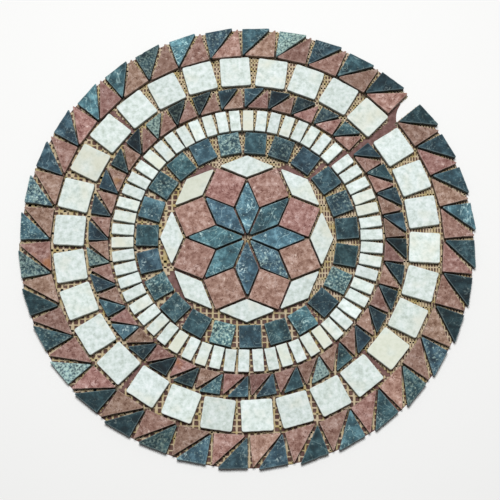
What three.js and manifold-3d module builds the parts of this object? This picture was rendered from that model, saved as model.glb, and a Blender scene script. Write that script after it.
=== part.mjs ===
// A round mosaic panel of tumbled marble tiles, laid face up on its backing net.
// Millimetres, +Z up. The origin is the middle of the flower, on the underside of the net.
// Angles are degrees, anticlockwise from +X as seen from above.

import * as THREE from "three";
import Module from "manifold-3d";

const wasm = await Module();
wasm.setup();

// Driving dimensions.
const NET_THICKNESS = 1; // net with the glue that fills it
const PANEL_THICKNESS = 10; // from the underside of the net to the face of the tiles
const GLUE_BITE = 0.1; // how deep a ring tile sits in the glue of the net
const WORN_EDGE = 0.9; // width and depth of the tumbled edge round each face
const TIP_CUT = 1.8; // how far a sharp tip is worn back along each of its sides
const SQUARE_CUT = 1.6; // the same on the corners of the large squares

const NET_RADIUS = 294.6;
const NET_EDGE = 1; // how far each section of net stays back from the middle of a seam
const ARC_STEP = 5; // degrees
const HUB_RADIUS = 8; // one section's net reaches over the middle of the panel

// The panel comes in four sections of net, fitted together edge to edge. Every ring has its
// own joints: the angles where each section's run of tiles starts, then where the last ends.
// The first joint and the last are not 360 degrees apart, and that opens a notch.
const SECTIONS = ["top", "left", "bottom", "right"];
const OUTER_PAIRS = {
  name: "outer_triangle",
  counts: [10, 9, 8, 9],
  joints: [42.4, 141.2, 230.9, 310.5, 399.2],
  outward: [-1.3, 0, 0.5, 0.8], // each section's run sits a little in or out of the circle
  from: 253.4,
  to: NET_RADIUS + NET_EDGE,
  pinkLeg: 40,
  pinkCorner: [255, -22.1], // outward, then anticlockwise from the cell's middle
  greenLeg: 38,
  greenRadius: 295,
  greenTurn: 4.4,
};
const LARGE_SQUARES = {
  name: "white_square",
  counts: [8, 8, 7, 7],
  joints: [40.1, 135.7, 231.3, 314.9, 398.5],
  from: 208.9,
  to: 253.4,
  width: 40,
  depth: 39.8,
  centre: 231.2,
  netBack: 1.6, // the net is trimmed further back beside the large squares
};
const INNER_PAIRS = {
  name: "inner_triangle",
  counts: [10, 9, 8, 9],
  joints: [41.2, 141.2, 230.9, 310.5, 399.2],
  outward: [0, 0, 0, 0],
  from: 177.9,
  to: 208.9,
  pinkLeg: 26.8,
  pinkCorner: [179.8, -14.7],
  greenLeg: 26.8,
  greenRadius: 206.6,
  greenTurn: 4.7,
};
const BRICKS = {
  name: "white_brick",
  counts: [16, 14, 13, 15],
  joints: [43.1, 142.0, 228.5, 308.9, 401.6],
  from: 146.2,
  to: 177.9,
  width: 13.6,
  depth: 28.3,
  centre: 161.9,
};
const GREEN_SQUARES = {
  name: "green_square",
  counts: [6, 6, 5, 6],
  joints: [46.0, 139.5, 233.0, 310.9, 404.4],
  from: 114.4,
  to: 146.2,
  width: 28,
  depth: 28.7,
  centre: 130.3,
};
const RINGS = [OUTER_PAIRS, LARGE_SQUARES, INNER_PAIRS, BRICKS, GREEN_SQUARES]; // outside in

// The flower in the middle: eight of each tile, a green star, then pink, then white.
const PETALS = 8;
const STAR_SIDE = 38.2;
const STAR_CENTRE = 40.6;
const PINK_SIDE = 40;
const PINK_CENTRE = 73.8;
const WHITE_SIDE = 38.4;
const WHITE_CENTRE = 97.4;
const RIGHT_SLIP = 0.5; // the right section has turned this far away from the notch

// A seam zigzags out between the flower's tiles: past the inner corner of a pink square, round
// the star's tip, past the pink square's outer corner, and so to the ring of green squares.
const PINK_INNER = 43.6;
const STAR_TIP = 79;
const PINK_OUTER = 104.4;
const WHITE_APEX = 114;
const BARE_START = 5; // degrees past the pink square's corner where the net is cut back
const SEAMS = [
  { pink: 67.5, rhomb: 45, side: -1, bare: true },
  { pink: 112.5, rhomb: 135, side: 1, bare: true },
  { pink: 202.5, rhomb: 225, side: 1, bare: true },
  { pink: 292.5, rhomb: 315, side: 1, bare: false },
];
const CLOSE_SEAM_RADIUS = 111.2; // where the seam without a bare band meets the green squares

// Tiles are set by hand: each one is a little out of place and out of square.
const HAND_SHIFT = 0.55;
const HAND_TURN = 0.9; // degrees
const SEED = 11;

const MARBLE = {
  white: new THREE.MeshStandardMaterial({ color: 0xe0e6dd, roughness: 0.6, metalness: 0 }),
  pink: new THREE.MeshStandardMaterial({ color: 0xa37a6c, roughness: 0.65, metalness: 0 }),
  green: new THREE.MeshStandardMaterial({ color: 0x4c646c, roughness: 0.6, metalness: 0 }),
};
const NET_WITH_TILES = new THREE.MeshStandardMaterial({
  color: 0xb5a078,
  roughness: 0.8,
  metalness: 0,
});

// A repeatable stream of numbers from -1 to 1 for the hand-set places.
function handStream(seed) {
  let state = seed;
  return () => {
    state = (state * 16807) % 2147483647;
    return (state / 2147483647) * 2 - 1;
  };
}

function polar(radius, degrees) {
  const angle = THREE.MathUtils.degToRad(degrees);
  return new THREE.Vector2(radius * Math.cos(angle), radius * Math.sin(angle));
}

function arc(radius, from, to) {
  const steps = Math.max(1, Math.round(Math.abs(to - from) / ARC_STEP));
  return Array.from({ length: steps + 1 }, (_, i) => polar(radius, from + ((to - from) * i) / steps));
}

// Moves every side of an anticlockwise outline inward by the distance.
function inset(outline, distance) {
  const count = outline.length;
  return outline.map((point, i) => {
    const before = point.clone().sub(outline[(i + count - 1) % count]).normalize();
    const after = outline[(i + 1) % count].clone().sub(point).normalize();
    const inward = new THREE.Vector2(-before.y - after.y, before.x + after.x);
    const cosine = 1 + before.dot(after);
    return point.clone().addScaledVector(inward, distance / cosine);
  });
}

// Replaces each corner whose angle is under the limit by a short straight side.
function cutCorners(outline, cut, limit) {
  const count = outline.length;
  return outline.flatMap((point, i) => {
    const back = outline[(i + count - 1) % count].clone().sub(point).normalize();
    const on = outline[(i + 1) % count].clone().sub(point).normalize();
    if (Math.acos(back.dot(on)) > THREE.MathUtils.degToRad(limit)) return [point.clone()];
    return [point.clone().addScaledVector(back, cut), point.clone().addScaledVector(on, cut)];
  });
}

// A closed body through outlines of equal count stacked upward, capped at both ends.
function stacked(layers) {
  const count = layers[0].outline.length;
  const positions = layers.flatMap(({ outline, z }) => outline.flatMap((p) => [p.x, p.y, z]));
  const index = [];
  for (let layer = 0; layer + 1 < layers.length; layer += 1) {
    for (let i = 0; i < count; i += 1) {
      const a = layer * count + i;
      const b = layer * count + ((i + 1) % count);
      index.push(a, b, b + count, a, b + count, a + count);
    }
  }
  const top = (layers.length - 1) * count;
  for (const [a, b, c] of THREE.ShapeUtils.triangulateShape(layers[0].outline, [])) {
    index.push(c, b, a);
    index.push(top + a, top + b, top + c);
  }
  const geometry = new THREE.BufferGeometry();
  geometry.setAttribute("position", new THREE.Float32BufferAttribute(positions, 3));
  geometry.setIndex(index);
  return geometry;
}

function tileBody(outline, bottom) {
  return stacked([
    { outline, z: bottom },
    { outline, z: PANEL_THICKNESS - WORN_EDGE },
    { outline: inset(outline, WORN_EDGE), z: PANEL_THICKNESS },
  ]);
}

// Outlines of the tiles round their own middles: x outward, y anticlockwise along the ring.
function rectangle(depth, width) {
  const x = depth / 2;
  const y = width / 2;
  return [
    new THREE.Vector2(-x, -y),
    new THREE.Vector2(x, -y),
    new THREE.Vector2(x, y),
    new THREE.Vector2(-x, y),
  ];
}

function rhomb(outward, alongRing) {
  return [
    new THREE.Vector2(-outward / 2, 0),
    new THREE.Vector2(0, -alongRing / 2),
    new THREE.Vector2(outward / 2, 0),
    new THREE.Vector2(0, alongRing / 2),
  ];
}

// A right-angled triangle with its square corner at the origin.
function rightTriangle(leg, direction) {
  return [
    new THREE.Vector2(0, 0),
    new THREE.Vector2(leg * direction, 0),
    new THREE.Vector2(0, leg * direction),
  ];
}

// Lays an outline on the panel with its own x pointing outward at the angle, as a hand would.
function laid(outline, offset, degrees, hand) {
  const middle = new THREE.Vector2();
  outline.forEach((point) => middle.addScaledVector(point, 1 / outline.length));
  const turn = THREE.MathUtils.degToRad(HAND_TURN) * hand();
  const shift = new THREE.Vector2(HAND_SHIFT * hand(), HAND_SHIFT * hand());
  const facing = THREE.MathUtils.degToRad(degrees);
  return outline.map((point) => {
    const own = point.clone().rotateAround(middle, turn).add(offset).add(shift);
    return own.rotateAround(new THREE.Vector2(), facing);
  });
}

function cellAngles(ring, section) {
  const start = ring.joints[section];
  const pitch = (ring.joints[section + 1] - start) / ring.counts[section];
  return Array.from({ length: ring.counts[section] }, (_, i) => start + (i + 0.5) * pitch);
}

function blockOutlines(ring, section, hand, cut) {
  const offset = new THREE.Vector2(ring.centre, 0);
  return cellAngles(ring, section).map((angle) => {
    const outline = laid(rectangle(ring.depth, ring.width), offset, angle, hand);
    return cut ? cutCorners(outline, cut, 100) : outline;
  });
}

// Each cell holds a pink triangle with its foot on the inner side and a green one with its
// back on the outer side, their long sides facing each other.
function pairOutlines(ring, section, hand) {
  const [pinkRadius, pinkAlong] = ring.pinkCorner;
  const outward = ring.outward[section];
  const pinkAt = new THREE.Vector2(pinkRadius + outward / 2, pinkAlong);
  const greenAt = new THREE.Vector2(ring.greenRadius + outward, 0);
  return cellAngles(ring, section).flatMap((angle) => {
    const pink = laid(rightTriangle(ring.pinkLeg, 1), pinkAt, angle, hand);
    const green = laid(rightTriangle(ring.greenLeg, -1), greenAt, angle + ring.greenTurn, hand);
    return [cutCorners(pink, TIP_CUT, 60), cutCorners(green, TIP_CUT, 60)];
  });
}

// The edge of a section's net along one seam, from the middle of the panel outward. The side
// is 1 for the section that starts at the seam and -1 for the one that ends there.
function seamEdge(seam, joint, side) {
  const { pink, rhomb: axis, side: owner, bare } = SEAMS[seam];
  const squares = GREEN_SQUARES.joints[joint];
  const turn = squares > 360 ? 360 : 0;
  const points = [
    polar(PINK_INNER, pink + turn),
    polar(STAR_TIP, axis + turn),
    polar(PINK_OUTER, pink + turn),
  ];
  if (!bare) {
    points.push(polar(CLOSE_SEAM_RADIUS, squares));
  } else if (owner === side) {
    points.push(polar(WHITE_APEX - NET_EDGE / 2, axis));
    if (side > 0) points.push(polar(GREEN_SQUARES.from, squares));
  } else {
    const start = pink + BARE_START * Math.sign(axis - pink);
    points.push(...arc(GREEN_SQUARES.from, start, squares));
  }
  for (const ring of RINGS.toReversed()) {
    const back = THREE.MathUtils.radToDeg((ring.netBack ?? 0) / ring.from) * side;
    points.push(polar(ring.from, ring.joints[joint] + back));
    points.push(polar(ring.to, ring.joints[joint] + back));
  }
  return points.filter((point, i) => i === 0 || point.distanceTo(points[i - 1]) > 0.5);
}

function netOutline(section) {
  const next = (section + 1) % SECTIONS.length;
  const first = seamEdge(section, section, 1);
  const last = seamEdge(next, section + 1, -1);
  const rim = arc(OUTER_PAIRS.to, OUTER_PAIRS.joints[section], OUTER_PAIRS.joints[section + 1]);
  const hub = arc(HUB_RADIUS, SEAMS[next].pink, SEAMS[section].pink);
  const outline = [...first, ...rim.slice(1, -1), ...last.toReversed(), ...hub];
  return inset(outline, NET_EDGE);
}

function solid(geometry) {
  return new wasm.Manifold(
    new wasm.Mesh({
      numProp: 3,
      vertProperties: geometry.getAttribute("position").array,
      triVerts: Uint32Array.from(geometry.getIndex().array),
    }),
  );
}

function geometryOf(body) {
  const { vertProperties, triVerts } = body.getMesh();
  const geometry = new THREE.BufferGeometry();
  geometry.setAttribute("position", new THREE.BufferAttribute(vertProperties, 3));
  geometry.setIndex(new THREE.BufferAttribute(triVerts, 1));
  return geometry;
}

// One section of net with its triangles, bricks and green squares glued on.
function sectionBody(section, hand) {
  const outline = netOutline(section);
  const net = stacked([
    { outline, z: 0 },
    { outline, z: NET_THICKNESS },
  ]);
  const outlines = [
    ...pairOutlines(OUTER_PAIRS, section, hand),
    ...pairOutlines(INNER_PAIRS, section, hand),
    ...blockOutlines(BRICKS, section, hand),
    ...blockOutlines(GREEN_SQUARES, section, hand),
  ];
  const bodies = outlines.map((tile) => solid(tileBody(tile, NET_THICKNESS - GLUE_BITE)));
  return geometryOf(bodies.reduce((joined, body) => joined.add(body), solid(net)));
}

function meshNamed(name, geometry, material) {
  const mesh = new THREE.Mesh(geometry, material);
  mesh.name = name;
  return mesh;
}

function sections(hand) {
  const group = new THREE.Group();
  SECTIONS.forEach((name, section) => {
    group.add(meshNamed(`net_section_${name}`, sectionBody(section, hand), NET_WITH_TILES));
  });
  return group;
}

function largeSquares(hand) {
  const group = new THREE.Group();
  const outlines = SECTIONS.flatMap((_, section) =>
    blockOutlines(LARGE_SQUARES, section, hand, SQUARE_CUT),
  );
  outlines.forEach((outline, i) => {
    const name = `white_square_${String(i + 1).padStart(2, "0")}`;
    group.add(meshNamed(name, tileBody(outline, NET_THICKNESS), MARBLE.white));
  });
  return group;
}

// Whether a flower tile at the angle belongs to the right section, which has slipped.
function slipAt(degrees) {
  const inRight = degrees > SEAMS[3].pink || degrees < SEAMS[0].pink;
  return inRight ? -RIGHT_SLIP : 0;
}

function flower(hand) {
  const group = new THREE.Group();
  const step = 360 / PETALS;
  const half = THREE.MathUtils.degToRad(step / 2);
  const long = 2 * Math.cos(half);
  const short = 2 * Math.sin(half);
  const lay = (outline, radius, angle) =>
    laid(outline, new THREE.Vector2(radius, 0), angle + slipAt(angle), hand);
  for (let i = 0; i < PETALS; i += 1) {
    const axis = i * step;
    const star = lay(rhomb(STAR_SIDE * long, STAR_SIDE * short), STAR_CENTRE, axis);
    const pinkDiagonal = PINK_SIDE * Math.SQRT2;
    const pink = lay(rhomb(pinkDiagonal, pinkDiagonal), PINK_CENTRE, axis + step / 2);
    const white = lay(rhomb(WHITE_SIDE * short, WHITE_SIDE * long), WHITE_CENTRE, axis);
    const tiles = [
      [`green_star_rhomb_${i + 1}`, cutCorners(star, TIP_CUT, 60), MARBLE.green],
      [`pink_square_${i + 1}`, pink, MARBLE.pink],
      [`white_rhomb_${i + 1}`, cutCorners(white, TIP_CUT, 60), MARBLE.white],
    ];
    tiles.forEach(([name, outline, marble]) => {
      group.add(meshNamed(name, tileBody(outline, NET_THICKNESS), marble));
    });
  }
  return group;
}

const hand = handStream(SEED);
const panel = new THREE.Group();
panel.name = "mosaic_panel";
panel.add(sections(hand), largeSquares(hand), flower(hand));

export default panel;
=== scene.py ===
"""A round mosaic panel of tumbled marble tiles, glued face up on four sections of backing net."""

import math
import random

import bpy
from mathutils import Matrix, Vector, kdtree, noise


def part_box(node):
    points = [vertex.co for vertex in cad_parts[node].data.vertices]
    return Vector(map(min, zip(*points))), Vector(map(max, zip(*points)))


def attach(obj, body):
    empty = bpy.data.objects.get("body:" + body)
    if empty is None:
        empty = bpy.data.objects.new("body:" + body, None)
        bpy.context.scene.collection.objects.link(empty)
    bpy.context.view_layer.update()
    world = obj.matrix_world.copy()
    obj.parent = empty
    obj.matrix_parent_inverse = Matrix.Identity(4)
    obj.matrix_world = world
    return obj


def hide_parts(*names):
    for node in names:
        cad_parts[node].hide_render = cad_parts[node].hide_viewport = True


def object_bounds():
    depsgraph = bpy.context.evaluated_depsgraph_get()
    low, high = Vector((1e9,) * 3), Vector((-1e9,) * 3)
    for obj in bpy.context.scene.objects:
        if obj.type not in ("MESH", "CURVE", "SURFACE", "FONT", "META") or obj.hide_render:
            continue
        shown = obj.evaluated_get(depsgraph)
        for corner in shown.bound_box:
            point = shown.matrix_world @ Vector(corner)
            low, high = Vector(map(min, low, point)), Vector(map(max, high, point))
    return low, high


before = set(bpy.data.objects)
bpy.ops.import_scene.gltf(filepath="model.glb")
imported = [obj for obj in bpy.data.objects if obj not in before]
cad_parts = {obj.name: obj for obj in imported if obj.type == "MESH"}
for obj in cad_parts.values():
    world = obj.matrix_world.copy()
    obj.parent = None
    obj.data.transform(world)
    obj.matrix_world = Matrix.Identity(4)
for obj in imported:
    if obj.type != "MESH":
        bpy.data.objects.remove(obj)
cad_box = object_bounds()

MM = 0.001
SECTIONS = ("top", "left", "bottom", "right")
noise.seed_set(1)  # noise vectors would differ from run to run without a seed

# Heights, from the frame: the tiles' faces, and the net that the tiles stand on.
FACE = cad_box[1][2]
NET_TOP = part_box("white_square_01")[0].z
SKIN_FOOT = 0.1 * MM  # the thin glue skin that closes the meshes of the net from below
SKIN = 0.25 * MM

# Shaping of the tiles.
TILE_DEPTH = FACE - NET_TOP + 0.2 * MM  # a tile's foot is bedded in the glue of the net
EDGE_STEP = 3.4 * MM  # spacing of the points that let a sawn side wander
WANDER = 0.34 * MM
SLOW_WAVE = 9 * MM  # a side wanders in slow waves, with weaker quick ones on them
QUICK_WAVE = 3 * MM
QUICK_WEIGHT = 0.3
ROUGHENING = 0.4  # how deep the worn edge is roughened, as a share of WANDER
PLACES_APART = 30  # takes each tile to waves of its own
ROUNDED_FROM = 20  # degrees between two surfaces from which the edge between them is worn round
SMOOTH_UP_TO = 38  # degrees between two surfaces up to which the light runs smoothly over them
EDGE_BAND = 0.1 * MM  # a point this near the height of the faces is on a face or its edge
FACE_BAND = 0.5 * MM  # and a level surface this near it is a tile's face, though the tile leans
FACE_RIM = 0.55 * MM  # the band of each face next to its worn edge
WORN_BAND = 1.6 * MM  # how far the wear goes down a side
ROCK = 0.3  # degrees that a hand-set tile may lean
SINK = 0.12 * MM
CHIP_REACH = 2.6 * MM
CHIP_DEPTH = 0.8 * MM
CHIP_FALL = 0.6  # a chip goes this far down for each step that it goes in

# The woven net: warp threads along Y and weft threads along X, each in its coat of glue. Small
# holes are left in the net of the top section and slits in the right one. The others have square
# meshes, and glue closes many of them on the left.
FINE_WARPS = {"pitch": 4.3 * MM, "radius": 1.0 * MM, "at_weft": 1.7 * MM}
FINE_WEFTS = {"pitch": 6.2 * MM, "radius": 1.45 * MM}
SLIT_WARPS = {"pitch": 3.7 * MM, "radius": 0.9 * MM, "at_weft": 1.4 * MM}
SLIT_WEFTS = {"pitch": 7.6 * MM, "radius": 1.1 * MM}
WIDE_WARPS = {"pitch": 7.8 * MM, "radius": 1.45 * MM, "at_weft": 2.0 * MM}
WIDE_WEFTS = {"pitch": 7.6 * MM, "radius": 1.0 * MM}
NETS = {
    "top": (FINE_WARPS, FINE_WEFTS),
    "left": (WIDE_WARPS, WIDE_WEFTS),
    "bottom": (WIDE_WARPS, WIDE_WEFTS),
    "right": (SLIT_WARPS, SLIT_WEFTS),
}
# How far glue swells the threads where it lies thick, and how much of the net it covers.
GLUE_COATS = {
    "top": (1.0 * MM, 0.1),
    "left": (2.2 * MM, 0.08),
    "bottom": (1.0 * MM, -0.06),
    "right": (1.0 * MM, 0.06),
}
GLUE_PATCH = 13 * MM  # the size of a patch of glue, and of the spots in it
GLUE_SPOT = 4 * MM
SPOT_WEIGHT = 0.6
GLUE_STEEPNESS = 3.2  # how abruptly a patch of glue ends
THREAD_DRIFT = 0.5 * MM
DRIFT_WAVE = 23 * MM
FIRST_WARP = 0.37  # in pitches of the warps from the middle of the panel
BETWEEN_WARPS = -0.13  # where the points along a weft are, halfway from one warp to the next
KNOT = 0.15  # a warp's point this near a weft is on the knot there, in pitches of the wefts
BESIDE_KNOT = 0.28  # and a point this far from it is the thread's own thickness
FLATTENING = 0.5  # threads are half as high as they are wide
NET_FILL = 0.96  # and stay within this share of the net's thickness
NARROW_JOINT = 3.2 * MM  # a joint this narrow gets the full painted shade on the net in it
WIDE_JOINT = 4.5 * MM  # and one this wide gets none

# The film of dried glue under all four sections, seen in the seams and the notch between them.
FILM_FOOT = 0.02 * MM
FILM_DEPTH = 0.06 * MM
FILM_RADIUS = 295.6 * MM
FILM_STEPS = 90
NOTCH_SIDES = (36.8, 45.2)  # degrees, a little way under the threads on either side of the notch
# The hollow curve in which the film ends in the notch, in millimetres.
NOTCH_CURVE = (
    (206, 187),
    (202.2, 180),
    (200.7, 175),
    (200, 170),
    (199.9, 165),
    (200.3, 161),
    (201.4, 158),
    (206, 155.5),
)

# The rings that stay on the net sections: the radii between which their tiles' middles lie, in
# millimetres, and how their tiles are cut: from which marble, how round their edges are and how
# much wider than their blanks, in millimetres, how bright they are next to the rest of that
# marble, and how much they vary.
RINGS = (
    (
        "outer_pink_triangles",
        (262, 275),
        {"marble": "pink_marble", "edge": 0.55, "grow": 0.1, "shade": 1.0, "variety": 1.0},
    ),
    (
        "outer_green_triangles",
        (275, 292),
        {"marble": "green_marble", "edge": 0.55, "grow": 0.1, "shade": 1.2, "variety": 1.0},
    ),
    (
        "inner_pink_triangles",
        (184, 193.2),
        {"marble": "pink_marble", "edge": 0.5, "grow": 0.05, "shade": 0.87, "variety": 1.1},
    ),
    (
        "inner_green_triangles",
        (193.2, 204),
        {"marble": "green_marble", "edge": 0.5, "grow": 0.05, "shade": 0.82, "variety": 1.1},
    ),
    (
        "white_bricks",
        (152, 172),
        {"marble": "white_marble", "edge": 0.8, "grow": 0.1, "shade": 1.0, "variety": 1.2},
    ),
    (
        "green_squares",
        (122, 140),
        {"marble": "green_marble", "edge": 0.7, "grow": 0.1, "shade": 1.22, "variety": 0.6},
    ),
)

# The flower and the large squares, each tile a CAD node of its own.
SEPARATE_TILES = (
    (
        "white_square",
        {"marble": "white_marble", "edge": 0.9, "grow": 0.0, "shade": 0.99, "variety": 1.0},
    ),
    (
        "pink_square",
        {"marble": "pink_marble", "edge": 0.45, "grow": 0.5, "shade": 1.1, "variety": 0.4},
    ),
    (
        "green_star_rhomb",
        {"marble": "green_marble", "edge": 0.45, "grow": 0.5, "shade": 2.05, "variety": 0.4},
    ),
    (
        "white_rhomb",
        {"marble": "white_marble", "edge": 0.5, "grow": 0.2, "shade": 0.95, "variety": 1.0},
    ),
)

GLUE = "#C0AF8E"
# painted shade for the feet of the tiles' sides, down in the joints
FOOT_SHADE = "#3B3224"

# The studio, in metres and watts. The camera looks down from in front of the lower edge, and its
# lens and sensor are in millimetres.
CAMERA_PLACE = (3.9 * MM, -409.2 * MM, 1511.6 * MM)
CAMERA_SIGHT = (0, 0.2527, -0.9677)
LENS = 86.3
SENSOR = 36
FAR_CLIP = 50
FLOOR_SIZE = 14
KEY_SIDE = (-0.05, 1)  # beyond the panel's upper edge, a touch to the left
KEY_HEIGHT = 79  # degrees above the floor, so nearly overhead
KEY_DISTANCE = 2.6
KEY_SIZE = 0.95
KEY_POWER = 64
SKY = 0.15


# ---------------------------------------------------------------- modelling


def work_on(piece):
    """Makes one piece the only selected and the active one."""
    bpy.ops.object.select_all(action="DESELECT")
    piece.select_set(True)
    bpy.context.view_layer.objects.active = piece


def select_where(piece, kind, wanted):
    """Selects the "edges" or "polygons" that wanted() accepts, and goes into edit mode."""
    bpy.context.tool_settings.mesh_select_mode = (False, kind == "edges", kind == "polygons")
    bpy.ops.object.mode_set(mode="EDIT")
    bpy.ops.mesh.select_all(action="DESELECT")
    bpy.ops.object.mode_set(mode="OBJECT")
    items = getattr(piece.data, kind)
    chosen = [wanted(item) for item in items]
    items.foreach_set("select", chosen)
    bpy.ops.object.mode_set(mode="EDIT")
    return any(chosen)


def merged_copy(cad_node, name):
    """A CAD node's shape as a new piece, its loose triangles merged."""
    piece = bpy.data.objects.new(name, cad_node.data.copy())
    piece.data.name = name
    piece.data.materials.clear()
    bpy.context.scene.collection.objects.link(piece)
    work_on(piece)
    bpy.ops.mesh.customdata_custom_splitnormals_clear()
    bpy.ops.object.mode_set(mode="EDIT")
    bpy.ops.mesh.select_all(action="SELECT")
    bpy.ops.mesh.remove_doubles(threshold=0.01 * MM)
    bpy.ops.object.mode_set(mode="OBJECT")
    return piece


def keep_faces(piece, wanted, height):
    """Keeps the faces that wanted() accepts, joins those that touch, and lays them at a height."""
    select_where(piece, "polygons", lambda face: not wanted(face))
    bpy.ops.mesh.delete(type="FACE")
    bpy.ops.mesh.select_all(action="SELECT")
    bpy.ops.mesh.dissolve_faces()
    bpy.ops.object.mode_set(mode="OBJECT")
    for vertex in piece.data.vertices:
        vertex.co.z = height


def tile_blanks(cad_node, name):
    """The outline of each tile on a CAD node, as one flat face."""
    piece = merged_copy(cad_node, name)
    keep_faces(piece, lambda face: face.normal.z > 0.3 and face.center.z > FACE / 2, FACE)
    return piece


def take_blanks(blanks, name, inner, outer):
    """Splits off the tiles whose middles lie between two radii, in millimetres."""
    work_on(blanks)
    inner, outer = inner * MM, outer * MM
    select_where(blanks, "polygons", lambda face: inner < face.center.xy.length < outer)
    bpy.ops.mesh.separate(type="SELECTED")
    bpy.ops.object.mode_set(mode="OBJECT")
    ring = next(o for o in bpy.context.selected_objects if o is not blanks)
    ring.name = name
    ring.data.name = name
    return ring


def steps_along(blanks, edge):
    """How many steps one side of a blank is divided into."""
    a, b = (blanks.data.vertices[i].co for i in edge.vertices)
    return round((a - b).length / EDGE_STEP)


def divide_sides(blanks):
    """Puts points along the blanks' sides, and keeps each blank one face."""
    counts = {steps_along(blanks, edge) for edge in blanks.data.edges}
    for count in sorted(counts - {0, 1}):
        if select_where(blanks, "edges", lambda edge: steps_along(blanks, edge) == count):
            bpy.ops.mesh.subdivide(number_cuts=count - 1)
            bpy.ops.mesh.select_all(action="SELECT")
            bpy.ops.mesh.dissolve_faces()
        bpy.ops.object.mode_set(mode="OBJECT")


def widen(piece, distance):
    """Moves the sides of a piece's flat blanks outward by a distance, less far at sharp tips."""
    for face in piece.data.polygons:
        corners = [piece.data.vertices[i] for i in face.vertices]
        places = [corner.co.copy() for corner in corners]
        for i, corner in enumerate(corners):
            into = (places[i] - places[i - 1]).normalized()
            out = (places[(i + 1) % len(places)] - places[i]).normalized()
            normals = [side.cross(face.normal) for side in (into, out)]
            mitre = (normals[0] + normals[1]) / max(0.3, 1 + normals[0].dot(normals[1]))
            corner.co += mitre * distance


def cut_tiles(piece, rounding):
    """Gives the flat blanks their thickness, rounded edges and a rim round each face."""
    work_on(piece)
    divide_sides(piece)
    bpy.ops.object.mode_set(mode="EDIT")
    bpy.ops.mesh.select_all(action="SELECT")
    bpy.ops.mesh.extrude_region_move(TRANSFORM_OT_translate={"value": (0, 0, -TILE_DEPTH)})
    bpy.ops.mesh.select_all(action="SELECT")
    bpy.ops.mesh.normals_make_consistent(inside=False)
    bpy.ops.mesh.select_all(action="DESELECT")
    bpy.ops.mesh.select_mode(type="EDGE")
    bpy.ops.mesh.edges_select_sharp(sharpness=math.radians(ROUNDED_FROM))
    bpy.ops.object.mode_set(mode="OBJECT")
    points = piece.data.vertices
    for edge in piece.data.edges:
        if max(points[i].co.z for i in edge.vertices) < FACE - EDGE_BAND:
            edge.select = False
    bpy.ops.object.mode_set(mode="EDIT")
    bpy.ops.mesh.bevel(
        offset=rounding * MM,
        segments=3,
        profile=0.5,
        affect="EDGES",
        clamp_overlap=True,
    )
    bpy.ops.object.mode_set(mode="OBJECT")
    select_where(piece, "polygons", is_tile_face)
    bpy.ops.mesh.inset(thickness=FACE_RIM, use_individual=True)
    bpy.ops.object.mode_set(mode="OBJECT")


def is_tile_face(face):
    """Whether a face is the wide flat top of a tile."""
    level = face.normal.z > 0.99 and face.center.z > FACE - FACE_BAND
    return level and len(face.vertices) > 4


def tiles_of(mesh):
    """The points of a mesh, tile by tile, found along the edges that join them."""
    leader = list(range(len(mesh.vertices)))

    def lead(i):
        while leader[i] != i:
            leader[i] = leader[leader[i]]
            i = leader[i]
        return i

    for edge in mesh.edges:
        a, b = (lead(i) for i in edge.vertices)
        leader[max(a, b)] = min(a, b)
    tiles = {}
    for i in range(len(mesh.vertices)):
        tiles.setdefault(lead(i), []).append(mesh.vertices[i])
    return tiles.values()


def tumble(piece, shade, variety):
    """Ages the tiles: wandering sides, chipped edges, and a little lean, each tile its own.

    The points also get what the marble needs: wear is 1 on the worn edge, slab_place moves the
    pattern so that no two tiles repeat it, slab_make holds the tile's lightness and warmth, from
    -1 to 1, and how mottled it is, from 0 to 1, and slab_shade is the whole ring's brightness.
    """
    dice = random.Random(piece.name)
    mesh = piece.data
    inner = set()
    for face in mesh.polygons:
        if is_tile_face(face):
            inner.update(face.vertices)
    for name, kind in (
        ("wear", "FLOAT"),
        ("slab_shade", "FLOAT"),
        ("slab_place", "FLOAT_VECTOR"),
        ("slab_make", "FLOAT_VECTOR"),
    ):
        mesh.attributes.new(name, kind, "POINT")
    # Each new attribute moves the others, so they are looked up once all are there.
    wear = mesh.attributes["wear"]
    slab_shade = mesh.attributes["slab_shade"]
    slab_place = mesh.attributes["slab_place"]
    slab_make = mesh.attributes["slab_make"]
    for points in tiles_of(mesh):
        middle = sum((point.co for point in points), Vector()) / len(points)
        lean_x = math.tan(math.radians(dice.gauss(0, ROCK)))
        lean_y = math.tan(math.radians(dice.gauss(0, ROCK)))
        sink = dice.uniform(-SINK, SINK)
        place = Vector(dice.uniform(-1, 1) for axis in range(3))
        light = max(-1.0, min(1.0, dice.gauss(0, 0.5))) * variety
        warmth = dice.uniform(-1, 1)
        mottling = dice.random() ** 4 * min(1.0, variety)
        edge = [p for p in points if p.index not in inner and p.co.z > FACE - EDGE_BAND]
        chips = []
        for chip in range(dice.randint(0, 2)):
            chips.append((dice.choice(edge).co.copy(), dice.uniform(0.3, 1)))
        for point in points:
            worn = point.index not in inner and point.co.z > FACE - WORN_BAND
            wear.data[point.index].value = float(worn)
            slab_place.data[point.index].vector = place
            slab_make.data[point.index].vector = (light, warmth, mottling)
            slab_shade.data[point.index].value = shade
            inward = (middle - point.co) * Vector((1, 1, 0))
            inward.normalize()
            at = point.co.copy()
            for spot, size in chips:
                near = max(0.0, 1 - (at - spot).length / CHIP_REACH)
                point.co += (inward - Vector((0, 0, CHIP_FALL))) * near * size * CHIP_DEPTH
            upright = at * Vector((1, 1, 0.3))  # a sawn side is nearly upright
            slow = noise.noise_vector(upright / SLOW_WAVE + place * PLACES_APART)
            quick = noise.noise_vector(at / QUICK_WAVE + place * PLACES_APART)
            point.co.xy += slow.xy * WANDER + quick.xy * WANDER * QUICK_WEIGHT
            if worn:
                point.co.z -= abs(quick.z) * WANDER * ROUGHENING
            if at.z > FACE / 2:
                point.co.z += lean_x * (at.x - middle.x) + lean_y * (at.y - middle.y) + sink


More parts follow.
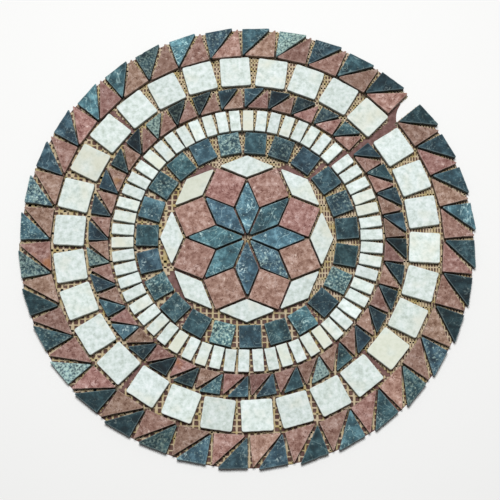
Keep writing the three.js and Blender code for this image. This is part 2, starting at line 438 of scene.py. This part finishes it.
def finish_tiles(piece, cut):
    """Turns flat blanks into finished tiles, on the body that carries them all."""
    widen(piece, cut["grow"] * MM)
    cut_tiles(piece, cut["edge"])
    tumble(piece, cut["shade"], cut["variety"])
    work_on(piece)
    bpy.ops.object.shade_smooth_by_angle(angle=math.radians(SMOOTH_UP_TO))
    select_where(piece, "polygons", is_tile_face)
    bpy.ops.mesh.faces_shade_flat()
    bpy.ops.object.mode_set(mode="OBJECT")
    piece.data.materials.append(MARBLES[cut["marble"]])
    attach(piece, "root")


# ---------------------------------------------------------------- the net


def thicken(piece, depth):
    """Makes a flat sheet into a closed solid, upward by a depth."""
    bpy.ops.object.mode_set(mode="EDIT")
    bpy.ops.mesh.select_all(action="SELECT")
    bpy.ops.mesh.extrude_region_move(TRANSFORM_OT_translate={"value": (0, 0, depth)})
    bpy.ops.mesh.select_all(action="SELECT")
    bpy.ops.mesh.normals_make_consistent(inside=False)
    bpy.ops.object.mode_set(mode="OBJECT")


def net_skin(section):
    """The glue skin of one section, in the outline of the section's underside."""
    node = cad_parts["net_section_" + section]
    piece = merged_copy(node, "glue_skin_" + section)
    keep_faces(piece, lambda face: face.normal.z < -0.99 and face.center.z < NET_TOP / 2, SKIN_FOOT)
    outlines = []
    for face in piece.data.polygons:
        outlines.append([tuple(piece.data.vertices[i].co.xy) for i in face.vertices])
    thicken(piece, SKIN)
    return piece, outlines


def glue_film():
    """The film under the whole panel, below the skins of its sections, hollow at the notch."""
    corners = [Vector((x, y, 0)) * MM for x, y in reversed(NOTCH_CURVE)]
    start, end = NOTCH_SIDES[1], NOTCH_SIDES[0] + 360
    for step in range(FILM_STEPS + 1):
        turn = math.radians(start + (end - start) * step / FILM_STEPS)
        corners.append(Vector((math.cos(turn), math.sin(turn), 0)) * FILM_RADIUS)
    bpy.ops.object.select_all(action="DESELECT")
    bpy.ops.mesh.primitive_circle_add(vertices=len(corners), radius=0.1, fill_type="NGON")
    piece = bpy.context.view_layer.objects.active
    piece.name = piece.data.name = "glue_film_under_panel"
    for point, corner in zip(piece.data.vertices, corners):
        point.co = (corner.x, corner.y, FILM_FOOT)
    thicken(piece, FILM_DEPTH)
    return piece


def runs_inside(outlines, axis, at):
    """Where a straight thread across the outlines is inside them, as (start, end) pairs."""
    crossings = []
    for outline in outlines:
        for a, b in zip(outline, outline[1:] + outline[:1]):
            if (a[axis] - at) * (b[axis] - at) < 0:
                share = (at - a[axis]) / (b[axis] - a[axis])
                crossings.append(a[1 - axis] + share * (b[1 - axis] - a[1 - axis]))
    crossings.sort()
    return [pair for pair in zip(crossings[::2], crossings[1::2]) if pair[1] - pair[0] > MM]


def glue_at(x, y, level):
    """How thickly glue lies on the net at a place, from 0 to 1: in patches, and bare between."""
    patches = noise.noise(Vector((x, y, 0)) / GLUE_PATCH)
    spots = noise.noise(Vector((x, y, 0.02)) / GLUE_SPOT)
    return min(1.0, max(0.0, (patches + SPOT_WEIGHT * spots + level) * GLUE_STEEPNESS))


def lay_thread(curve, run, steps, place, radius):
    """Adds one thread to a curve, with points at its ends and at the steps between them."""
    along = [run[0]] + [step for step in steps if run[0] < step < run[1]] + [run[1]]
    spline = curve.splines.new("POLY")
    spline.points.add(len(along) - 1)
    for point, distance in zip(spline.points, along):
        x, y = place(distance)
        drift = noise.noise_vector(Vector((x, y, 0.05)) / DRIFT_WAVE) * THREAD_DRIFT
        point.co = (x + drift.x, y + drift.y, NET_TOP / 2, 1)
        point.radius = radius(x, y) / MM


def weave(section, outlines):
    """The threads of one section, from one end of its outline to the other."""
    name = "glass_net_" + section
    warps, wefts = NETS[section]
    swell, level = GLUE_COATS[section]
    curve = bpy.data.curves.new(name, "CURVE")
    curve.dimensions = "3D"
    curve.twist_mode = "Z_UP"
    curve.bevel_depth = MM
    curve.bevel_resolution = 1
    curve.use_fill_caps = True
    reach = max(abs(value) for outline in outlines for point in outline for value in point)
    rows = range(-math.ceil(reach / wefts["pitch"]), math.ceil(reach / wefts["pitch"]) + 1)
    columns = range(-math.ceil(reach / warps["pitch"]), math.ceil(reach / warps["pitch"]) + 1)

    def warp_radius(x, y):
        from_weft = abs(y / wefts["pitch"] - round(y / wefts["pitch"]))
        bare = warps["at_weft"] if from_weft < KNOT else warps["radius"]
        return bare + swell * glue_at(x, y, level)

    def weft_radius(x, y):
        return wefts["radius"] + swell * glue_at(x, y, level)

    parts = (-BESIDE_KNOT, 0, BESIDE_KNOT)
    warp_steps = [(row + part) * wefts["pitch"] for row in rows for part in parts]
    for column in columns:
        x = (column + FIRST_WARP) * warps["pitch"]
        for run in runs_inside(outlines, 0, x):
            lay_thread(curve, run, warp_steps, lambda y: (x, y), warp_radius)
    weft_steps = [(column + BETWEEN_WARPS) * warps["pitch"] for column in columns]
    for row in rows:
        y = row * wefts["pitch"]
        for run in runs_inside(outlines, 1, y):
            lay_thread(curve, run, weft_steps, lambda x: (x, y), weft_radius)
    piece = bpy.data.objects.new(name, curve)
    bpy.context.scene.collection.objects.link(piece)
    work_on(piece)
    bpy.ops.object.convert(target="MESH")
    piece = bpy.context.view_layer.objects.active
    half = NET_TOP / 2
    for vertex in piece.data.vertices:
        rise = (vertex.co.z - half) * FLATTENING
        vertex.co.z = half + max(-NET_FILL * half, min(NET_FILL * half, rise))
    bpy.ops.object.shade_smooth()
    return piece


def tile_feet(pieces):
    """Places along the feet of all tiles, in a search tree, and how wide the joint is at each."""
    places = []
    for piece in pieces:
        owner = {}
        for number, points in enumerate(tiles_of(piece.data)):
            owner.update((point.index, (piece.name, number)) for point in points)
        for edge in piece.data.edges:
            a, b = (piece.data.vertices[i].co for i in edge.vertices)
            if max(a.z, b.z) < NET_TOP:
                for share in (0, 0.25, 0.5, 0.75):
                    places.append((a.lerp(b, share).xy.to_3d(), owner[edge.vertices[0]]))
    feet = kdtree.KDTree(len(places))
    for number, (place, tile) in enumerate(places):
        feet.insert(place, number)
    feet.balance()
    widths = []
    for place, tile in places:
        near = feet.find_range(place, WIDE_JOINT)
        across = (gap for spot, number, gap in near if places[number][1] != tile)
        widths.append(min(across, default=WIDE_JOINT))
    return feet, widths


def shade_narrow_joints(threads, feet, widths):
    """Marks how much painted shade each point of the net gets, from 0 to 1: most where the joint is
    narrow.
    """
    joint = threads.data.attributes.new("joint", "FLOAT", "POINT")
    for point in threads.data.vertices:
        width = widths[feet.find(point.co.xy.to_3d())[1]]
        shade_share = (WIDE_JOINT - width) / (WIDE_JOINT - NARROW_JOINT)
        joint.data[point.index].value = max(0.0, min(1.0, shade_share))


# ---------------------------------------------------------------- materials


def linear(code):
    """A colour that is written as an sRGB hex code, as the linear values that the nodes take."""
    channels = (int(code[i : i + 2], 16) / 255 for i in (1, 3, 5))
    return [c / 12.92 if c <= 0.04045 else ((c + 0.055) / 1.055) ** 2.4 for c in channels] + [1]


def add(tree, kind, inputs=None, stops=(), **settings):
    """Adds a node with its settings; each input gets a value, or a link where it is a socket.

    A colour ramp also gets its (position, hex colour) stops.
    """
    node = tree.nodes.new("ShaderNode" + kind)
    for name, value in settings.items():
        setattr(node, name, value)
    for name, value in (inputs or {}).items():
        if isinstance(value, bpy.types.NodeSocket):
            tree.links.new(value, node.inputs[name])
        else:
            node.inputs[name].default_value = value
    for i, (position, code) in enumerate(stops):
        points = node.color_ramp.elements
        point = points[i] if i < len(points) else points.new(position)
        point.position = position
        point.color = linear(code)
    return node.outputs


def new_material(name):
    """An empty node material, with its tree."""
    material = bpy.data.materials.new(name)
    material.use_nodes = True
    material.node_tree.nodes.clear()
    return material, material.node_tree


def close_material(tree, colour, roughness, relief=None, plain=None):
    """Ends a material's tree with the surface shader."""
    inputs = {"Base Color": colour, "Roughness": roughness, **(plain or {})}
    if relief:
        inputs["Normal"] = relief
    shader = add(tree, "BsdfPrincipled", inputs)
    add(tree, "OutputMaterial", {"Surface": shader["BSDF"]})


def cut_from_slab(tree):
    """What every marble here reads: its place in the slab, and the tile's own make."""
    at = add(tree, "TexCoord")["Object"]
    place = add(tree, "Attribute", attribute_name="slab_place")["Vector"]
    slab = add(tree, "VectorMath", {0: at, 1: place}, operation="ADD")["Vector"]
    make = add(tree, "Attribute", attribute_name="slab_make")["Vector"]
    make = add(tree, "SeparateXYZ", {"Vector": make})
    return slab, {"light": make["X"], "warmth": make["Y"], "mottling": make["Z"]}


def finish_stone(tree, slab, make, stone, coat):
    """The last coats of every marble: the tile's own shade, worn edge, painted shade at the foot of its
    sides, and pits.

    The coat gives the powder on worn edges, the spread from the darkest tile to the lightest, the
    stone's cloudy pattern and how rough the stone is at its low and its high values.
    """
    shade = add(tree, "Attribute", attribute_name="slab_shade")["Fac"]
    value = add(tree, "Math", {0: coat["spread"], 1: make["light"]}, operation="POWER")["Value"]
    value = add(tree, "Math", {0: value, 1: shade}, operation="MULTIPLY")["Value"]
    hue = {0: make["warmth"], 1: -0.018, 2: 0.5}
    hue = add(tree, "Math", hue, operation="MULTIPLY_ADD")["Value"]
    stone = add(tree, "HueSaturation", {"Hue": hue, "Value": value, "Color": stone})["Color"]
    wear = add(tree, "Attribute", attribute_name="wear")["Fac"]
    worn = add(tree, "Math", {0: wear, 1: 0.35}, operation="MULTIPLY")["Value"]
    worn = {"Factor": worn, "A": stone, "B": linear(coat["powder"])}
    stone = add(tree, "Mix", worn, data_type="RGBA")["Result"]
    # painted shade: each side darkens toward the tile's foot, in a ragged band
    height = add(tree, "SeparateXYZ", {"Vector": add(tree, "TexCoord")["Object"]})["Z"]
    ragged = add(tree, "TexNoise", {"Vector": slab, "Scale": 1 / (3 * MM), "Detail": 2})["Fac"]
    foot = add(tree, "Math", {0: ragged, 1: 4 * MM, 2: height}, operation="MULTIPLY_ADD")["Value"]
    foot = {"Value": foot, "From Min": 9.5 * MM, "From Max": 4 * MM, "To Max": 0.9}
    foot = add(tree, "MapRange", foot)["Result"]
    shaded_foot = {"Factor": foot, "A": stone, "B": linear(FOOT_SHADE)}
    stone = add(tree, "Mix", shaded_foot, data_type="RGBA")["Result"]
    pits = add(tree, "TexNoise", {"Vector": slab, "Scale": 1 / (2.2 * MM), "Detail": 3})["Fac"]
    relief = add(tree, "Bump", {"Height": pits, "Distance": 0.25 * MM, "Strength": 0.8})["Normal"]
    smooth, rough = coat["rough"]
    gloss = {"Value": coat["cloud"], "From Min": 0.3, "From Max": 0.7, "To Min": smooth, "To Max": rough}
    gloss = add(tree, "MapRange", gloss)["Result"]
    close_material(tree, stone, gloss, relief, {"IOR": 1.49, "Specular IOR Level": 0.25})


def veins(tree, slab, spacing, width, wander):
    """Thin wandering lines: where a cloudy pattern passes its middle value."""
    cloud = {"Vector": slab, "Scale": 1 / spacing, "Detail": 3, "Distortion": wander}
    cloud = add(tree, "TexNoise", cloud)["Fac"]
    off = add(tree, "Math", {0: cloud, 1: 0.5}, operation="SUBTRACT")["Value"]
    off = add(tree, "Math", {0: off}, operation="ABSOLUTE")["Value"]
    line = {"Value": off, "From Min": 0.0, "From Max": width, "To Min": 1.0, "To Max": 0.0}
    return add(tree, "MapRange", line)["Result"]


def tumbled_green_marble():
    """Green serpentine marble, sawn and tumbled: dark blue-green clouds with a fine paler grain,
    a few pale veins, clusters of white flecks, and edges bruised to a grey powder."""
    material, tree = new_material("tumbled_green_serpentine_marble")
    slab, make = cut_from_slab(tree)
    cloud = {"Vector": slab, "Scale": 1 / (14 * MM), "Detail": 6, "Roughness": 0.68}
    cloud = add(tree, "TexNoise", cloud)["Fac"]
    depths = ((0.32, "#16252C"), (0.5, "#2C444D"), (0.68, "#516F78"))
    stone = add(tree, "ValToRGB", {"Fac": cloud}, stops=depths)["Color"]
    grain = {"Vector": slab, "Scale": 1 / (2.8 * MM), "Detail": 3, "Roughness": 0.6}
    grain = add(tree, "TexNoise", grain)["Fac"]
    pale = {0: make["mottling"], 1: 0.28, 2: grain}
    pale = add(tree, "Math", pale, operation="MULTIPLY_ADD")["Value"]
    pale = {"Value": pale, "From Min": 0.62, "From Max": 0.86, "To Max": 0.8}
    pale = {"Factor": add(tree, "MapRange", pale)["Result"], "A": stone, "B": linear("#9FB7AE")}
    stone = add(tree, "Mix", pale, data_type="RGBA")["Result"]
    vein = veins(tree, slab, 32 * MM, 0.008, 0.8)
    vein = add(tree, "Math", {0: vein, 1: cloud}, operation="MULTIPLY")["Value"]
    vein = {"Factor": vein, "A": stone, "B": linear("#8FA8A9")}
    stone = add(tree, "Mix", vein, data_type="RGBA")["Result"]
    patch = add(tree, "TexNoise", {"Vector": slab, "Scale": 1 / (13 * MM), "Detail": 2})["Fac"]
    patch = {"Value": patch, "From Min": 0.59, "From Max": 0.72, "To Max": 0.7}
    patch = add(tree, "MapRange", patch)["Result"]
    fleck = add(tree, "TexNoise", {"Vector": slab, "Scale": 1 / (3.2 * MM), "Detail": 2})["Fac"]
    fleck = add(tree, "MapRange", {"Value": fleck, "From Min": 0.52, "From Max": 0.64})["Result"]
    fleck = add(tree, "Math", {0: fleck, 1: patch}, operation="MULTIPLY")["Value"]
    fleck = {"Factor": fleck, "A": stone, "B": linear("#AEC3C1")}
    stone = add(tree, "Mix", fleck, data_type="RGBA")["Result"]
    coat = {"powder": "#8A9EA0", "spread": 2.6, "cloud": cloud, "rough": (0.72, 0.86)}
    finish_stone(tree, slab, make, stone, coat)
    return material


def tumbled_pink_marble():
    """Pink-brown marble, sawn and tumbled: warm clouds, fine brown veins that wander, a few
    pale flecks, and here and there an ochre iron stain."""
    material, tree = new_material("tumbled_pink_marble")
    slab, make = cut_from_slab(tree)
    cloud = {"Vector": slab, "Scale": 1 / (8 * MM), "Detail": 6, "Roughness": 0.72}
    cloud = add(tree, "TexNoise", cloud)["Fac"]
    depths = ((0.32, "#6F4B40"), (0.5, "#9F7E72"), (0.68, "#C6ACA3"))
    stone = add(tree, "ValToRGB", {"Fac": cloud}, stops=depths)["Color"]
    vein = veins(tree, slab, 11 * MM, 0.05, 2.4)
    torn = add(tree, "TexNoise", {"Vector": slab, "Scale": 1 / (7 * MM), "Detail": 2})["Fac"]
    torn = add(tree, "MapRange", {"Value": torn, "From Min": 0.4, "From Max": 0.6})["Result"]
    vein = add(tree, "Math", {0: vein, 1: torn}, operation="MULTIPLY")["Value"]
    vein = {"Factor": vein, "A": stone, "B": linear("#5E382D")}
    stone = add(tree, "Mix", vein, data_type="RGBA")["Result"]
    fleck = add(tree, "TexNoise", {"Vector": slab, "Scale": 1 / (4 * MM), "Detail": 2})["Fac"]
    fleck = {"Value": fleck, "From Min": 0.7, "From Max": 0.76, "To Max": 0.8}
    fleck = {"Factor": add(tree, "MapRange", fleck)["Result"], "A": stone, "B": linear("#E2D0C2")}
    stone = add(tree, "Mix", fleck, data_type="RGBA")["Result"]
    rust = add(tree, "TexNoise", {"Vector": slab, "Scale": 1 / (22 * MM), "Detail": 3})["Fac"]
    rust = add(tree, "Math", {0: rust, 1: make["mottling"]}, operation="MULTIPLY")["Value"]
    rust = {"Value": rust, "From Min": 0.46, "From Max": 0.58, "To Max": 0.6}
    rust = {"Factor": add(tree, "MapRange", rust)["Result"], "A": stone, "B": linear("#A9763F")}
    stone = add(tree, "Mix", rust, data_type="RGBA")["Result"]
    coat = {"powder": "#BFA69B", "spread": 1.33, "cloud": cloud, "rough": (0.76, 0.88)}
    finish_stone(tree, slab, make, stone, coat)
    return material


def tumbled_white_marble():
    """Off-white marble, sawn and tumbled: milky clouds with a green cast, faint beige stains
    and sugary edges."""
    material, tree = new_material("tumbled_white_marble")
    slab, make = cut_from_slab(tree)
    cloud = {"Vector": slab, "Scale": 1 / (6 * MM), "Detail": 6, "Roughness": 0.66}
    cloud = add(tree, "TexNoise", cloud)["Fac"]
    depths = ((0.33, "#BDC9C1"), (0.5, "#D8E4E0"), (0.67, "#EEF5F5"))
    stone = add(tree, "ValToRGB", {"Fac": cloud}, stops=depths)["Color"]
    stain = add(tree, "TexNoise", {"Vector": slab, "Scale": 1 / (24 * MM), "Detail": 4})["Fac"]
    stain = {0: make["mottling"], 1: 0.4, 2: stain}
    stain = add(tree, "Math", stain, operation="MULTIPLY_ADD")["Value"]
    stain = {"Value": stain, "From Min": 0.55, "From Max": 0.85, "To Max": 0.7}
    stain = {"Factor": add(tree, "MapRange", stain)["Result"], "A": stone, "B": linear("#DADAC5")}
    stone = add(tree, "Mix", stain, data_type="RGBA")["Result"]
    coat = {"powder": "#E8EFEA", "spread": 1.09, "cloud": cloud, "rough": (0.74, 0.86)}
    finish_stone(tree, slab, make, stone, coat)
    return material


def glue_coated_net():
    """Glass-fibre net soaked in yellowed white glue: tan, ochre where the glue lies thick, with
    painted shade on the low sides of the threads and nearly black in narrow joints."""
    material, tree = new_material("glue_coated_glass_net")
    at = add(tree, "TexCoord")["Object"]
    height = add(tree, "SeparateXYZ", {"Vector": at})["Z"]
    patches = add(tree, "TexNoise", {"Vector": at, "Scale": 1 / (11 * MM), "Detail": 3})["Fac"]
    coats = ((0.35, "#CBB79F"), (0.5, GLUE), (0.68, "#AF9C66"))
    glue = add(tree, "ValToRGB", {"Fac": patches}, stops=coats)["Color"]
    # painted shade: the threads darken toward their low sides
    low = {"Value": height, "From Min": 0.9 * MM, "From Max": 0.3 * MM, "To Max": 0.4}
    low = {"Factor": add(tree, "MapRange", low)["Result"], "A": glue, "B": linear("#6A4E3A")}
    glue = add(tree, "Mix", low, data_type="RGBA")["Result"]
    # painted shade: the net darkens nearly to black in narrow joints, where little light reaches down
    joint = add(tree, "Attribute", attribute_name="joint")["Fac"]
    joint_shade = add(tree, "Math", {0: joint, 1: 0.95}, operation="MULTIPLY")["Value"]
    joint_shade = {"Factor": joint_shade, "A": glue, "B": linear("#1F1A13")}
    glue = add(tree, "Mix", joint_shade, data_type="RGBA")["Result"]
    fibres = add(tree, "TexNoise", {"Vector": at, "Scale": 1 / (0.9 * MM), "Detail": 2})["Fac"]
    relief = add(tree, "Bump", {"Height": fibres, "Distance": 0.12 * MM, "Strength": 0.8})["Normal"]
    close_material(tree, glue, 0.75, relief, {"IOR": 1.46})
    return material


def dried_glue(name, browns):
    """Dried glue full of stone dust: matt, in uneven reddish browns."""
    material, tree = new_material(name)
    at = add(tree, "TexCoord")["Object"]
    dust = add(tree, "TexNoise", {"Vector": at, "Scale": 1 / (6 * MM), "Detail": 4})["Fac"]
    skin = add(tree, "ValToRGB", {"Fac": dust}, stops=browns)["Color"]
    relief = add(tree, "Bump", {"Height": dust, "Distance": 0.1 * MM, "Strength": 0.6})["Normal"]
    close_material(tree, skin, 0.85, relief, {"IOR": 1.46})
    return material


MARBLES = {
    "white_marble": tumbled_white_marble(),
    "pink_marble": tumbled_pink_marble(),
    "green_marble": tumbled_green_marble(),
}
NET_GLUE = glue_coated_net()
# Darker in the meshes of the net, where the browns carry painted shade; lighter and redder in the seams.
SHADED_GLUE_SKIN = dried_glue("dried_glue_skin", ((0.35, "#492F29"), (0.5, "#5B3F38"), (0.68, "#70544B")))
GLUE_FILM = dried_glue("dried_glue_film", ((0.35, "#644741"), (0.5, "#745450"), (0.68, "#866864")))


# ---------------------------------------------------------------- the panel


tiles = []
for section in SECTIONS:
    cad_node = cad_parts["net_section_" + section]
    blanks = tile_blanks(cad_node, "blanks_" + section)
    for name, radii, cut in RINGS:
        ring = take_blanks(blanks, name + "_" + section, *radii)
        finish_tiles(ring, cut)
        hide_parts("net_section_" + section)
        tiles.append(ring)
    bpy.data.objects.remove(blanks)

for family, cut in SEPARATE_TILES:
    for name in sorted(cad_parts):
        if name.startswith(family):
            tile = tile_blanks(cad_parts[name], "tumbled_" + name)
            finish_tiles(tile, cut)
            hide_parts(name)
            tiles.append(tile)

feet, widths = tile_feet(tiles)
for section in SECTIONS:
    skin, outlines = net_skin(section)
    threads = weave(section, outlines)
    shade_narrow_joints(threads, feet, widths)
    for piece, finish in ((skin, SHADED_GLUE_SKIN), (threads, NET_GLUE)):
        piece.data.materials.append(finish)
        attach(piece, "root")
        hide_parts("net_section_" + section)

film = glue_film()
film.data.materials.append(GLUE_FILM)
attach(film, "root")


# ---------------------------------------------------------------- studio


def studio():
    """A pale floor, one big soft light nearly overhead, and the camera."""
    scene = bpy.context.scene
    scene.view_settings.view_transform = "Standard"
    bpy.ops.object.select_all(action="DESELECT")
    bpy.ops.mesh.primitive_plane_add(size=FLOOR_SIZE, location=(0, 0, 0))
    floor = bpy.context.view_layer.objects.active
    floor.name = "pale_floor"
    material, tree = new_material("matt_white_floor_paint")
    close_material(tree, linear("#F3F3F2"), 0.9)
    floor.data.materials.append(material)
    world = bpy.data.worlds.new("soft_studio")
    scene.world = world
    world.use_nodes = True
    sky = world.node_tree.nodes["Background"].inputs
    sky["Color"].default_value = linear("#FFFFFF")
    sky["Strength"].default_value = SKY
    rise = math.radians(KEY_HEIGHT)
    across = math.cos(rise) * KEY_DISTANCE
    place = Vector((KEY_SIDE[0] * across, KEY_SIDE[1] * across, math.sin(rise) * KEY_DISTANCE))
    bpy.ops.object.light_add(type="AREA", location=place)
    key = bpy.context.view_layer.objects.active
    key.name = "softbox"
    key.data.shape = "DISK"
    key.data.size = KEY_SIZE
    key.data.energy = KEY_POWER
    key.rotation_euler = (-place).to_track_quat("-Z", "Y").to_euler()
    bpy.ops.object.camera_add(location=CAMERA_PLACE)
    camera = bpy.context.view_layer.objects.active
    camera.rotation_euler = Vector(CAMERA_SIGHT).to_track_quat("-Z", "Y").to_euler()
    camera.data.lens = LENS
    camera.data.sensor_width = SENSOR
    camera.data.clip_end = FAR_CLIP
    scene.camera = camera


studio()
